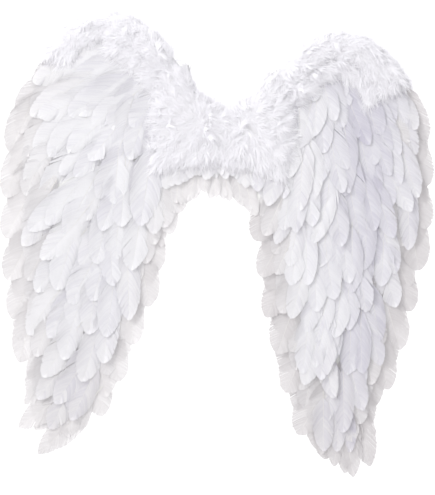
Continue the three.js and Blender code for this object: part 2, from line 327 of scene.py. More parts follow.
def steel_material():
    nodes = Nodes("steel_wire", 0.35, metallic=1.0)
    marks = nodes.noise(240.0, 4.0)
    nodes.colour(nodes.mix(marks, (0.5, 0.51, 0.53), (0.66, 0.67, 0.69)))
    nodes.bump(marks, 0.0001, 0.3)
    return nodes.material


def thread_material():
    nodes = Nodes("thread", 0.85, sheen=0.2)
    nodes.colour(nodes.mix(nodes.noise(2400.0, 2.0), (0.7, 0.7, 0.69), (0.86, 0.86, 0.85)))
    return nodes.material


# ---- Outlines taken from the CAD model -----------------------------------------------------------


def cap_outline(node):
    """The ordered outline, in x and z, of a flat plate's face on the wearer's side."""
    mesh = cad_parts[node].data
    flat = [(round(v.co.x, 5), round(v.co.z, 5)) for v in mesh.vertices]
    edges = {}
    for face in mesh.polygons:
        if face.normal.y > 0.9:
            corners = [flat[v] for v in face.vertices]
            edges.update(dict.fromkeys(zip(corners, corners[1:] + corners[:1])))
    following = {a: b for a, b in edges if (b, a) not in edges}
    loop = [next(iter(following))]
    while following[loop[-1]] != loop[0]:
        loop.append(following[loop[-1]])
    return np.array(loop)


def distances(path):
    """How far along a path of points each of them lies."""
    return np.concatenate([[0], np.cumsum(np.linalg.norm(np.diff(path, axis=0), axis=1))])


def resampled(loop, pitch):
    """Points at even distances round a closed loop."""
    closed = np.vstack([loop, loop[:1]])
    run = distances(closed)
    places = np.linspace(0, run[-1], int(run[-1] / pitch) + 1)[:-1]
    return np.stack([np.interp(places, run, closed[:, i]) for i in (0, 1)], 1)


def signed_area(loop):
    """The area inside a closed loop, positive where it turns to the left."""
    x, z = loop[:, 0], loop[:, 1]
    return 0.5 * np.sum(x * np.roll(z, -1) - np.roll(x, -1) * z)


class WingOutline:
    """The right wing's lining outline, and what is worked out from it. The left one mirrors it.

    loop runs clockwise from the wing's top, out holds the directions that point away from the wing,
    and tip is the index of the lowest point.
    """

    PITCH = 0.002
    SMOOTHING = 4  # points to each side that a direction is taken over

    def __init__(self):
        loop = resampled(cap_outline("right_wing_lining"), self.PITCH)
        ahead = np.roll(loop, -self.SMOOTHING, 0) - np.roll(loop, self.SMOOTHING, 0)
        if signed_area(loop) > 0:
            loop, ahead = loop[::-1], -ahead[::-1]
        top = int(np.argmax(loop[:, 1]))
        self.loop = np.roll(loop, -top, 0)
        ahead = np.roll(ahead, -top, 0)
        ahead /= np.linalg.norm(ahead, axis=1)[:, None]
        self.out = np.stack([-ahead[:, 1], ahead[:, 0]], 1)
        self.tip = int(np.argmin(self.loop[:, 1]))

    def places(self, start, end, spacing):
        """Index places from start to end, evenly apart; end may run past the loop's end."""
        count = max(2, round((end - start) * self.PITCH / spacing))
        return np.linspace(start, end, count + 1).astype(int) % len(self.loop)

    def outer_at(self, z):
        """The index on the outer edge, between the top and the tip, at a height."""
        return int(np.argmin(np.abs(self.loop[: self.tip, 1] - z)))

    def inner_at(self, z):
        """The index on the inner edge, between the tip and the top, at a height."""
        return self.tip + int(np.argmin(np.abs(self.loop[self.tip :, 1] - z)))

    def contains(self, point):
        x, z = self.loop.T
        next_x, next_z = np.roll(self.loop, -1, 0).T
        crossed = (z > point[1]) != (next_z > point[1])
        at = x + (point[1] - z) * (next_x - x) / np.where(crossed, next_z - z, 1)
        return bool(np.sum(crossed & (point[0] < at)) % 2)

    def span(self, z):
        """The inner and the outer x at a height."""
        z = np.clip(z, self.loop[self.tip, 1] + 0.01, self.loop[0, 1] - 0.01)
        return self.loop[self.inner_at(z), 0], self.loop[self.outer_at(z), 0]


# ---- Feathers ------------------------------------------------------------------------------------

QUILL_END = 0.14  # share of a feather's length without vanes
BARB_STEPS = 4  # points from the quill to a barb's end
BARB_SLANT = 0.27  # how much nearer the tip a barb ends than it starts
LAST_ROOT = 0.94  # where along the quill the last barb starts
CLUMP_SHIFT, BARB_SHIFT = 0.020, 0.005  # spread of the barbs' ends along the feather, in lengths
CLUMP_LIFT, BARB_LIFT = 0.0008, 0.0002  # spread of the barbs' ends out of the feather's plane
VANE_FACE, VANE_BACK = 0.0002, -0.00015  # heights of a barb strip's two edges
STREAK = 0.07  # spread of the tone of clumps and of barbs
QUILL_RINGS, QUILL_CORNERS = 9, 4
QUILL_RADII = (0.0005, 0.0001)
PLAIN_LOOK = {"barbs": 46, "splits": 3.0, "point": 0.2, "curl": 0.0, "roll": 0.04}


def vane_width(share, point):
    """Half the width of a feather at a share of its length, as a share of its widest."""
    opening = np.sin(np.pi / 2 * np.clip((share - 0.08) / 0.38, 0, 1)) ** 0.8
    closing = np.clip((share - 0.58) / 0.42, 0, 1)
    return opening * (1 - closing**2.2) ** (0.55 + 0.4 * point)


def feather_points(rng, length, width, barbs, splits, point):
    """One flat feather: points as along, across and up, faces, and shading numbers."""
    reach = np.linspace(0, 1, BARB_STEPS)
    share = np.linspace(0, 1, barbs + 1)
    roots = QUILL_END + (LAST_ROOT - QUILL_END) * share**1.05
    ends = QUILL_END + BARB_SLANT + (1 - QUILL_END - BARB_SLANT) * share**0.8
    vanes, streaks = [], []
    for side in (-1, 1):
        clump = np.cumsum(rng.random(barbs) < splits / barbs)
        clumps = clump.max() + 1
        shift = rng.normal(0, CLUMP_SHIFT, clumps)[clump] + rng.normal(0, BARB_SHIFT, barbs)
        lift = rng.normal(0, CLUMP_LIFT, clumps)[clump] + rng.normal(0, BARB_LIFT, barbs)
        reached = 1 - np.abs(rng.normal(0, 0.04, barbs))
        lines = []
        for edge in (0, 1):
            root, end = roots[edge:][:barbs, None], ends[edge:][:barbs, None]
            out = reach[None] * reached[:, None]
            along = root + (end - root) * out**1.4 + shift[:, None] * out**2 * (1 - root) * 1.6
            across = side * vane_width(end, point) * out**0.95
            up = (VANE_FACE, VANE_BACK)[edge] + lift[:, None] * out**2
            lines.append(np.stack([along * length, across * width / 2, up], -1))
        vanes.append(np.stack(lines, 1))
        streak = rng.normal(0, STREAK, clumps)[clump] + rng.normal(0, STREAK, barbs)
        streaks.append(np.repeat(streak, 2 * BARB_STEPS))
    vanes = np.concatenate(vanes).reshape(-1, 3)
    faces = strip_faces(2 * barbs, 2, BARB_STEPS)

    along = np.linspace(-0.02, 0.95, QUILL_RINGS)
    radius = np.interp(along, (0, 1), QUILL_RADII)
    turn = np.linspace(0, 2 * np.pi, QUILL_CORNERS + 1)
    sides = [np.outer(radius, circle(turn)).ravel() for circle in (np.cos, np.sin)]
    tube = np.stack([np.repeat(along * length, len(turn)), *sides], -1)
    faces = np.vstack([faces, strip_faces(1, QUILL_RINGS, len(turn)) + len(vanes)])
    quill = np.repeat((0.0, 1.0), (len(vanes), len(tube)))
    streak = np.concatenate([*streaks, np.zeros(len(tube))])
    return np.vstack([vanes, tube]), faces, quill, streak


def bent(rng, points, length, width, arch, curl, bend):
    """Bends a flat feather: its sides droop, its tip lifts by curl and swings aside by bend."""
    along, across = points[:, 0] / length, points[:, 1] / (width / 2)
    up = points[:, 2] - arch * np.abs(across) ** 1.7 + curl * along**2
    up = up + 0.0008 * np.sin(2 * np.pi * (1.2 * along + rng.random())) * across
    return np.stack([points[:, 0], points[:, 1] + bend * along**2, up], -1)


def add_feather(batch, rng, sign, tip, angle, size, depth, rise, look):
    """Adds a feather whose tip lies at (x, z) of the right wing; sign mirrors it to the left.

    angle turns it outwards from straight down. size is its length and width, depth how far its
    root lies towards -Y, and rise how much further its tip does. look holds its tone and warm for
    the material, its arch, curl and roll, its number of barbs, how often the vanes split, and how
    pointed it is.
    """
    length, width = size
    look = PLAIN_LOOK | look
    shape = look["barbs"], look["splits"], look["point"]
    points, faces, quill, streak = feather_points(rng, length, width, *shape)
    along = points[:, 0] / length
    arch = look["arch"] * rng.uniform(0.6, 1.4)
    curl = look["curl"] + rng.normal(0, 0.0012)
    bend = rng.normal(0, 0.05) * length
    points = bent(rng, points, length, width, arch, curl, bend)
    ahead = np.array([math.sin(angle), -math.cos(angle)])
    aside = np.array([math.cos(angle), math.sin(angle)])
    root = np.asarray(tip) - ahead * length - aside * bend
    flat = root + points[:, :1] * ahead + points[:, 1:2] * aside
    roll = look["roll"] + rng.normal(0, 0.035)
    out = depth + rise * along + points[:, 2] + roll * points[:, 1]
    world = np.stack([sign * flat[:, 0], -out, flat[:, 1]], -1)
    if sign < 0:
        faces = faces[:, ::-1]
    # Tone: the look's own, random tone per feather and barb clump, and painted shade darkening towards
    # the root, which lies under the feathers above.
    tone = look["tone"] + rng.normal(0, 0.055) + streak + 0.1 * (1 - along) ** 2
    warm = np.clip(look["warm"] + rng.normal(0, 0.08), 0, 1)
    batch.add(world, faces, tone=np.clip(tone, 0, 1), warm=warm, quill=quill)


# ---- Rows of feathers on the wings ---------------------------------------------------------------

ROWS = {
    "left": {"pitch": 0.056, "spacing": 0.030, "width": 0.048, "length": 0.142, "top": 0.186},
    "right": {"pitch": 0.050, "spacing": 0.0255, "width": 0.039, "length": 0.126, "top": 0.112},
}
ROW_PAST_INNER, ROW_PAST_OUTER = 0.014, 0.022  # how far past the wing's edges the rows' tips reach
SHOULDER_Z = 0.02  # the rows lie closer above it
SHOULDER_PITCH = 0.7
# Above ROOT_FREE_Z feathers stay clear of the hinge: no tip is nearer the middle than ROOT_FREE_X
# and no root than ROOT_LIMIT_X.
ROOT_FREE_Z, ROOT_FREE_X, ROOT_LIMIT_X = -0.100, 0.084, 0.071
UNDER_FLUFF_Z, UNDER_FLUFF_X = -0.030, 0.102  # feathers above and inside would be hidden
ROW_DEPTH = 0.0150  # of the roots
ROW_SLOPE = 0.042
ROW_LOOK = {"curl": -0.0030, "roll": 0.095, "arch": 0.0020, "splits": 5.0}
LAVENDER_PAINTED_SHADE = {"left": (0.14, 0.30, 0.30), "right": (0.42, 0.72, 0.22)}  # how much, where, how wide
# Painted shade: the right wing, turned away from the key light, is made greyer all over.
SIDE_PAINTED_SHADE = {"left": 0.0, "right": 0.10}
GREY_TIP_Z, GREY_TIP_HEIGHT = -0.34, 0.13  # the feathers turn a warmer grey below this height

# How far outwards feathers point, in degrees from straight down, at these heights: first along the
# inner edge, then along the outer edge.
ANGLE_HEIGHTS = (-0.50, -0.40, -0.20, 0.0, 0.12)
ANGLES = {
    "left": ((22, -4, -8, 8, 40), (38, 34, 38, 58, 74)),
    "right": ((6, -8, -10, -6, 5), (16, 16, 20, 30, 52)),
}


def wing_angle(side, across, z):
    inner, outer = (np.interp(z, ANGLE_HEIGHTS, row) for row in ANGLES[side])
    return math.radians(inner + (outer - inner) * np.clip(across, 0, 1) ** 1.15)


def rooted(wing, root):
    """Whether a feather's root lies on the wing and clear of the hinge."""
    return wing.contains(root) and (root[1] < ROOT_FREE_Z or root[0] > ROOT_LIMIT_X)


def row_feathers(side, wing):
    sign, plan = SIDES[side], ROWS[side]
    most, where, wide = LAVENDER_PAINTED_SHADE[side]
    nodes = [f"{side}_feather_row_{i}" for i in range(1, 11)]
    lows = [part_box(node)[0].z for node in nodes]
    rows = {}
    rng = np.random.default_rng({"left": 11, "right": 23}[side])
    levels = np.append(
        np.arange(lows[0] + 0.004, SHOULDER_Z, plan["pitch"]),
        np.arange(SHOULDER_Z, plan["top"], SHOULDER_PITCH * plan["pitch"]),
    )
    for k, level in enumerate(levels):
        inner, outer = wing.span(level)
        inner, outer = inner - ROW_PAST_INNER, outer + ROW_PAST_OUTER
        number = max(2, round((outer - inner) / plan["spacing"]))
        for j in range(number):
            across = (j + 0.5 + 0.5 * (k % 2 - 0.5)) / number + rng.normal(0, 0.014)
            tip = [inner + (outer - inner) * across, level + rng.normal(0, 0.016)]
            if tip[1] > UNDER_FLUFF_Z and tip[0] < UNDER_FLUFF_X:
                continue
            if tip[1] > ROOT_FREE_Z:
                tip[0] = max(tip[0], ROOT_FREE_X)
            angle = wing_angle(side, across, tip[1]) + rng.normal(0, 0.08)
            small = 0.88 if k < 2 else 1
            length = plan["length"] * small * rng.uniform(0.9, 1.1)
            ahead = np.array([math.sin(angle), -math.cos(angle)])
            while length > 0.06 and not rooted(wing, tip - ahead * length):
                length *= 0.93
            if not rooted(wing, tip - ahead * length):
                continue
            width = plan["width"] * small * rng.uniform(0.88, 1.12)
            row = int(np.argmin([abs(low - tip[1]) for low in lows]))
            # Painted shade: a lavender band across the wing, where its surface turns away from the key
            # light.
            shadow = most * math.exp(-(((across - where) / wide) ** 2)) * rng.uniform(0.5, 1.3)
            # The outermost feathers turn a warmer grey: partly a tint, partly painted shade of a thin
            # single layer.
            edge = np.clip((abs(across - 0.5) - 0.38) / 0.16, 0, 1)
            low = np.clip((GREY_TIP_Z - tip[1]) / GREY_TIP_HEIGHT, 0, 1)
            tone = SIDE_PAINTED_SHADE[side] + shadow * (1 - 0.5 * low) + 0.1 * low
            look = ROW_LOOK | {"tone": tone, "warm": max(0.6 * edge, 0.85 * low)}
            depth = ROW_DEPTH + rng.normal(0, 0.0005)
            rise = ROW_SLOPE * length * math.cos(angle) + 0.002
            batch = rows.setdefault(row, Batch())
            add_feather(batch, rng, sign, tip, angle, (length, width), depth, rise, look)
    for row, batch in rows.items():
        piece = batch.build(f"{side}_wing_feathers_{row + 1}", MATERIALS["covert"])
        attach(piece, f"{side}_wing")
        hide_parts(nodes[row])


# ---- Flight feathers round the edges -------------------------------------------------------------

FLIGHT_SPACING = 0.033
FLIGHT_LENGTHS, FLIGHT_WIDTHS = (0.118, 0.136), (0.050, 0.060)
FLIGHT_DEPTH = 0.0128
# The flights get the warm grey, partly a tint and partly painted shade of a thin single layer.
FLIGHT_LOOK = {"arch": 0.0022, "curl": -0.001, "warm": 1.0}
# Painted shade of the thin edge feathers, greyer on the right wing, which faces away from the key
# light.
FLIGHT_PAINTED_SHADE = {"left": 0.24, "right": 0.64}
REACH_OUT, REACH_IN, REACH_TIP = 0.038, 0.028, 0.056  # past the lining's edge
ON_WING = 0.012  # how far from its root a flight feather must lie on the wing
# A second layer covers the first one's roots. Its reach, size, painted shade and warmth are shares of
# the first one's, and it lies deeper towards -Y.
UNDER_REACH, UNDER_SIZE, UNDER_PAINTED_SHADE, UNDER_WARM = 0.25, 0.8, 0.6, 0.5
UNDER_DEPTH = 0.0022
TIP_SIZE = 0.150, 0.047

# The long pointed feathers at a wing's end: tip x and z, and degrees outwards from straight down.
TIP_FEATHERS = {
    "left": (
        (0.288, -0.446, 40),
        (0.224, -0.496, 20),
        (0.294, -0.485, 54),
        (0.268, -0.487, 44),
        (0.240, -0.512, 28),
        (0.259, -0.526, 34),
    ),
    "right": (
        (0.262, -0.452, 14),
        (0.203, -0.490, -6),
        (0.285, -0.504, 22),
        (0.226, -0.508, 0),
        (0.244, -0.519, 5),
        (0.258, -0.523, 12),
    ),
}


def flight_aim(wing, tip, out, length):
    """The most downward way to point a feather whose root still lies on the wing."""
    for share in np.linspace(0, 1, 9):
        aim = out + np.array([0, -2.4 * (1 - share)])
        aim /= np.linalg.norm(aim)
        if wing.contains(tip - aim * (length - ON_WING)):
            return aim
    return out


def flight_feathers(side, wing, edge, start, end):
    """Feathers along the wing's edge, between two indices of its outline."""
    sign, edge_painted_shade = SIDES[side], FLIGHT_PAINTED_SHADE[side]
    rng = np.random.default_rng({"outer": 31, "inner": 47}[edge] + sign)
    batch = Batch()
    for i, place in enumerate(wing.places(start, end, FLIGHT_SPACING)):
        point, out = wing.loop[place], wing.out[place]
        reach = (REACH_OUT if out[0] > 0 else REACH_IN) * out[0] ** 2 + REACH_TIP * out[1] ** 2
        reach *= (0.72, 1.0)[i % 2] + rng.normal(0, 0.04)
        # Shorter at the shoulder and the tip outside, and near the middle inside.
        if edge == "outer":
            reach *= 1 - 0.5 * np.clip((point[1] - 0.04) / 0.09, 0, 1)
            reach *= 1 - 0.35 * np.clip((-0.34 - point[1]) / 0.08, 0, 1)
        else:
            reach *= 1 - 0.6 * np.clip((point[1] + 0.20) / 0.10, 0, 1)
        for under in (False, True):
            tip = point + out * reach * (UNDER_REACH if under else 1)
            tip += np.array([0, -0.020 * out[0] ** 2]) + rng.normal(0, 0.002, 2)
            size = rng.uniform(*FLIGHT_LENGTHS), rng.uniform(*FLIGHT_WIDTHS)
            if under:
                size = UNDER_SIZE * size[0], UNDER_SIZE * size[1]
            aim = flight_aim(wing, tip, out, size[0])
            if edge == "inner" and not rooted(wing, tip - aim * (size[0] - ON_WING)):
                continue
            angle = math.atan2(aim[0], -aim[1]) + rng.normal(0, 0.04)
            depth = FLIGHT_DEPTH + 0.0012 * (i % 2) + (UNDER_DEPTH if under else 0)
            warm = np.interp(point[1], (0.02, 0.10), (1.0, 0.2)) * (UNDER_WARM if under else 1)
            look = FLIGHT_LOOK | {"tone": edge_painted_shade * (UNDER_PAINTED_SHADE if under else 1), "warm": warm}
            add_feather(batch, rng, sign, tip, angle, size, depth, 0.0, look)
    if edge == "outer":
        look = FLIGHT_LOOK | {"tone": edge_painted_shade, "point": 0.6}
        for i, (x, z, degrees) in enumerate(TIP_FEATHERS[side]):
            angle, depth = math.radians(degrees), FLIGHT_DEPTH + 0.0003 + 0.0004 * i
            add_feather(batch, rng, sign, (x, z), angle, TIP_SIZE, depth, 0.001, look)
    piece = batch.build(f"{side}_{edge}_flights", MATERIALS["flight"])
    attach(piece, f"{side}_wing")
    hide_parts(f"{side}_{edge}_flight_feathers")


# ---- Fluff ---------------------------------------------------------------------------------------

CORE_CELL = 0.006
CORE_LUMPS = 0.0007
# Painted shade: the cores are made darker, as shadowed down under the plumes.
CORE_PAINTED_SHADE = 0.15
ROOT_SUNK = 0.0006  # how deep a tuft's root sits in its core
OVERHANG_BACK = 0.005  # how far behind its core fluff may reach where nothing lies there
BARBS_IN_TUFT = 32
TUFT_STEPS = 3
TUFT_SHAFT = 0.013
TUFT_LIFT = (0.03, 0.14)  # how steeply its shaft rises from the surface
BARB_LENGTHS = (0.009, 0.019)
BARB_WIDTH, BARB_END_WIDTH = 0.0012, 0.0001
BARB_FAN, BARB_FAN_CLOSING = 1.15, 0.95  # angle from the shaft, and how much it falls along it
BARB_CURVE, BARB_SETTLE, BARB_DROOP = 0.35, 0.12, 0.1  # towards the shaft, its surface and the floor


def rounding(far, width):
    """Rises from 0 at an edge to 1 at a width from it, as a quarter of an ellipse does."""
    return np.sqrt(1 - (1 - np.clip(far / width, 0, 1)) ** 2)


def flat_triangles(outline, cell):
    """Points about cell apart inside an outline, how far in each lies, and the triangles."""
    outline = resampled(np.asarray(outline), cell)
    low, high = outline.min(0), outline.max(0)
    columns, rows = (np.arange(low[i], high[i], cell) for i in (0, 1))
    grid = np.stack(np.meshgrid(columns, rows), -1).reshape(-1, 2)
    near = np.array([np.min(np.sum((outline - p) ** 2, 1)) for p in grid])
    grid = grid[near > (0.6 * cell) ** 2]
    ring = [(i, (i + 1) % len(outline)) for i in range(len(outline))]
    points = [Vector(p) for p in np.vstack([outline, grid])]
    flat, _, faces, *_ = delaunay_2d_cdt(points, ring, [], 1, 1e-7)
    flat = np.array([tuple(p) for p in flat])
    far = np.array([np.sqrt(np.min(np.sum((outline - p) ** 2, 1))) for p in flat])
    return flat, far, np.array([list(f) for f in faces if len(f) == 3])


def closed_solid(flat, tris, raised, level, facing):
    """A solid between a raised face, which looks towards facing Y, and a flat one at y = level."""
    face = np.stack([flat[:, 0], raised, flat[:, 1]], -1)
    rear = np.stack([flat[:, 0], np.full(len(flat), level), flat[:, 1]], -1)
    normal = np.cross(face[tris[:, 1]] - face[tris[:, 0]], face[tris[:, 2]] - face[tris[:, 0]])
    turned = facing * normal[:, 1] < 0
    tris[turned] = tris[turned][:, ::-1]
    rim, count = boundary_edges(tris), len(flat)
    walls = [(b, a, a + count) for a, b in rim] + [(b, a + count, b + count) for a, b in rim]
    return np.vstack([face, rear]), np.vstack([tris, tris[:, ::-1] + count, np.array(walls)])


def boundary_edges(tris):
    """The edges that only one triangle uses, in that triangle's direction."""
    edges = {(t[i], t[(i + 1) % 3]) for t in tris.tolist() for i in range(3)}
    return [(a, b) for a, b in edges if (b, a) not in edges]


def pillow(rng, outline, back, depth, edge, lumps):
    """A lumpy crowned solid over an outline in x and z: flat at y = back, swelling towards -Y."""
    flat, far, tris = flat_triangles(outline, CORE_CELL)
    crown = rounding(far, edge)
    swell = depth * (0.12 + 0.88 * crown)
    phase = rng.uniform(0, 6.28, 6)
    x, z = flat[:, 0], flat[:, 1]
    wave = np.sin(210 * x + phase[0]) * np.sin(190 * z + phase[1])
    wave += 0.6 * np.sin(330 * x + 120 * z + phase[2]) * np.sin(280 * z - 90 * x + phase[3])
    return closed_solid(flat, tris, back - (swell + lumps * wave * crown), back, -1)


def surface_samples(rng, points, tris, count, free):
    """Random places on a surface, with the face normals.

    Faces that look towards +Y count only where free says that nothing lies behind them.
    """
    a, b, c = (points[tris[:, i]] for i in range(3))
    normal = np.cross(b - a, c - a)
    area = np.linalg.norm(normal, axis=1)
    normal = normal / np.maximum(area, 1e-12)[:, None]
    hidden = np.array([n[1] > 0.35 and not free(p) for n, p in zip(normal, (a + b + c) / 3)])
    weight = np.where(hidden, 0, area)
    chosen = rng.choice(len(tris), count, p=weight / weight.sum())
    first, second = rng.random((2, count))
    over = first + second > 1
    first[over], second[over] = 1 - first[over], 1 - second[over]
    place = a[chosen] + first[:, None] * (b - a)[chosen] + second[:, None] * (c - a)[chosen]
    return place, normal[chosen]


def unit(vectors):
    return vectors / np.maximum(np.linalg.norm(vectors, axis=-1, keepdims=True), 1e-9)


def tufts_of_barbs(rng, places, normals, flow):
    """Small downy plumes: barbs that fan out from the two sides of a short shaft.

    Each barb is a thin curved strip that tapers, and shows its flat side away from the surface.
    Returns the points, the faces and how far each point lies along its barb.
    """
    count, number = len(places), BARBS_IN_TUFT
    flat = unit(flow - np.sum(flow * normals, 1, keepdims=True) * normals)
    ahead = unit(flat + rng.uniform(*TUFT_LIFT, count)[:, None] * normals)
    aside = unit(np.cross(ahead, normals))
    above = unit(np.cross(aside, ahead))
    share = np.linspace(0.05, 1, number)
    side = np.where(np.arange(number) % 2, 1, -1)
    spread = side * (BARB_FAN - BARB_FAN_CLOSING * share) + rng.normal(0, 0.2, (count, number))
    grown = rng.uniform(0.75, 1.25, count)[:, None]
    roots = places[:, None] + ahead[:, None] * (TUFT_SHAFT * share[None] * grown)[..., None]
    aims = np.cos(spread)[..., None] * ahead[:, None] + np.sin(spread)[..., None] * aside[:, None]
    rises = rng.normal(0.02, 0.05, (count, number, 1)) * above[:, None]
    aims = unit(aims + rises)
    curve = BARB_CURVE * (ahead[:, None] - aims) - BARB_SETTLE * normals[:, None]
    curve = curve + rng.normal(0, 0.16, (count, number, 1)) * aside[:, None]
    curve = curve + np.array([0, 0, -BARB_DROOP])
    size = rng.uniform(*BARB_LENGTHS, (count, number)) * grown
    run = np.linspace(0, 1, TUFT_STEPS)[None, None, :, None]
    path = aims[:, :, None] * run + curve[:, :, None] * run**2
    middle = roots[:, :, None] + path * size[..., None, None]
    across = unit(np.cross(aims, above[:, None] + rng.normal(0, 0.14, (count, number, 3))))
    half = 0.5 * BARB_WIDTH * (1 - run**1.6) + 0.5 * BARB_END_WIDTH
    edges = np.stack([middle - across[:, :, None] * half, middle + across[:, :, None] * half], 2)
    along = np.broadcast_to(run[..., 0][:, :, None], (count, number, 2, TUFT_STEPS))
    return edges.reshape(-1, 3), strip_faces(count * number, 2, TUFT_STEPS), along.ravel()


def grow_fluff(batch, core, tufts, rng, flow, free):
    """Adds a core with downy plumes growing from it; flow(places) is the way the plumes lie."""
    points, tris = core
    batch.add(points, tris, tone=CORE_PAINTED_SHADE)
    places, normals = surface_samples(rng, points, tris, tufts, free)
    normals = unit(normals + np.array([0, -0.5, 0]))
    places = places - ROOT_SUNK * normals
    lie = unit(flow(places) + rng.normal(0, 0.34, (len(places), 3)))
    barbs, faces, along = tufts_of_barbs(rng, places, normals, lie)
    tuft_points = BARBS_IN_TUFT * 2 * TUFT_STEPS
    behind = points[:, 1].max() + np.array([OVERHANG_BACK if free(p) else 0 for p in places])
    barbs[:, 1] = np.minimum(barbs[:, 1], np.repeat(behind, tuft_points))
    # Random tone per plume, and painted shade darkening each barb towards its root at the core.
    tone = np.repeat(rng.normal(0.02, 0.03, len(places)), tuft_points)
    batch.add(barbs, faces, tone=np.clip(tone + 0.02 * (1 - along), 0, 1))


def mirrored(core, sign):
    if sign > 0:
        return core
    points, tris = core
    return points * np.array([-1, 1, 1]), tris[:, ::-1]


def band_outline(wing, start, end, outer, inner):
    """A band along the lining's edge; outer grows from its first to its second number."""
    places = wing.places(start, end, CORE_CELL)
    outer = np.linspace(*outer, len(places))[:, None]
    return np.vstack(
        [
            wing.loop[places] + wing.out[places] * outer,
            (wing.loop[places] + wing.out[places] * inner)[::-1],
        ]
    )


FOLD_ROOM = 0.019  # from a wing's inner end to its fluff, so that the wing can fold
FOLD_THIN, FOLD_THINNED = 0.35, 0.035  # the core's share of depth there, and how far it stays thin
FOLD_TURN = 0.020  # how far from there the plumes still turn downwards


def fluff_plans(side, wing):
    """Bands of fluff: how far out, how far in, depth, plumes, and where they start and end."""
    first = wing.inner_at(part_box("right_leading_fluff")[0].z + 0.012) - len(wing.loop)
    shoulder, last = int(0.012 / wing.PITCH), wing.outer_at(0.118)
    if side == "right":
        return {
            "leading": [((0.002, 0.020), -0.026, 0.62, 1200, first, last)],
            "covert": [((-0.018, -0.018), -0.052, 0.62, 760, first, last)],
        }
    return {
        "leading": [
            ((0.002, 0.016), -0.026, 0.62, 920, first, shoulder),
            ((0.018, 0.030), -0.014, 0.35, 440, shoulder - 16, last),
        ],
        "covert": [((-0.014, -0.014), -0.050, 0.62, 640, first, shoulder)],
    }


def wing_fluff(side, wing):
    sign = SIDES[side]
    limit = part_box("right_wing_lining")[0].x + FOLD_ROOM
    for key, bands in fluff_plans(side, wing).items():
        low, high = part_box(f"right_{key}_fluff")
        rng = np.random.default_rng({"leading": 61, "covert": 71}[key] + sign)
        batch = Batch()
        for outer, inner, depth, tufts, start, end in bands:
            outline = band_outline(wing, start, end, outer, inner)
            outline[:, 0] = np.maximum(outline[:, 0], limit)
            edge = min(0.018, (outer[1] - inner) / 2)
            points, tris = pillow(rng, outline, high.y, depth * (high.y - low.y), edge, CORE_LUMPS)
            whole = np.clip((points[:, 0] - limit) / FOLD_THINNED, 0, 1)
            share = FOLD_THIN + (1 - FOLD_THIN) * whole
            points[:, 1] = high.y + (points[:, 1] - high.y) * share
            middle = wing.places(start, end, CORE_CELL)
            centre = wing.loop[middle] + wing.out[middle] * (outer[1] + inner) / 2
            run = unit(np.gradient(centre, axis=0))
            centre, run = centre * np.array([sign, 1]), run * np.array([sign, 1])

            def flow(places):
                flat = places[:, [0, 2]]
                near = np.argmin(np.sum((flat[:, None] - centre[None]) ** 2, -1), 1)
                aside = (flat - centre[near]) / 0.02
                down = np.array([0, -0.45 if key == "covert" else -0.1])
                lie = run[near] + 0.35 * aside + down
                turned = np.clip((limit + FOLD_TURN - np.abs(flat[:, 0])) / FOLD_TURN, 0, 1)
                turned = turned[:, None]
                lie = lie * (1 - turned) + turned * np.array([0.5 * sign, -0.8])
                return np.stack([lie[:, 0], np.zeros(len(lie)), lie[:, 1]], -1)

            def free(place):
                near = np.argmin(np.sum((wing.loop - (sign * place[0], place[2])) ** 2, 1))
                past = (sign * place[0], place[2]) - wing.loop[near]
                return key == "leading" and float(past @ wing.out[near]) > 0.003

            grow_fluff(batch, mirrored((points, tris), sign), tufts, rng, flow, free)
        piece = batch.build(f"{side}_{key}_plumes", MATERIALS["down"])
        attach(piece, f"{side}_wing")
        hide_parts(f"{side}_{key}_fluff")


# ---- Centre --------------------------------------------------------------------------------------

CENTRE_TUFTS = 620
ROOT_TUFTS = 900  # on each side
ROOT_FEATHERS = 6  # of each kind and on each side


def centre_fluff():
    low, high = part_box("centre_fluff")
    rng = np.random.default_rng(83)
    outline = [(low.x, low.z), (high.x, low.z), (high.x, high.z)]
    outline += [(0, high.z - 0.006), (low.x, high.z)]
    core = pillow(rng, outline, high.y, 0.66 * (high.y - low.y), 0.016, CORE_LUMPS)

    def flow(places):
        lift = (places[:, 2] - 0.024) / 0.03
        return np.stack([2.5 * places[:, 0], np.zeros(len(places)), lift - 0.35], -1)

    def free(place):
        return place[2] > 0.046

    batch = Batch()
    grow_fluff(batch, core, CENTRE_TUFTS, rng, flow, free)
    piece = batch.build("centre_plumes", MATERIALS["down"])
    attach(piece, "centre")
    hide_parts("centre_fluff")


CENTRE_FEATHERS = {
    "hanging": ({"warm": 0.9, "barbs": 22, "tone": 0.08, "arch": 0.002}, "flight"),
    "short": ({"warm": 0.25, "barbs": 22, "tone": 0.05, "arch": 0.002}, "covert"),
}


def centre_feathers():
    for node, kind, count, depth, seed in (
        ("centre_feathers_lower", "hanging", 7, 0.0112, 91),
        ("centre_feathers_upper", "short", 8, 0.0142, 95),
    ):
        look, feather = CENTRE_FEATHERS[kind]
        low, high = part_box(node)
        rng = np.random.default_rng(seed)
        batch = Batch()
        for i in range(count):
            x = low.x + (high.x - low.x) * (i + 0.5) / count + rng.normal(0, 0.001)
            tip = (x, low.z + 0.004 + rng.normal(0, 0.004))
            size = rng.uniform(0.055, 0.066), rng.uniform(0.018, 0.026)
            angle = 5 * x + rng.normal(0, 0.14)
            add_feather(batch, rng, 1, tip, angle, size, depth + 0.001 * (i % 2), 0.002, look)
        piece = batch.build(f"centre_{kind}_feathers", MATERIALS[feather])
        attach(piece, "centre")
        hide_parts(node)


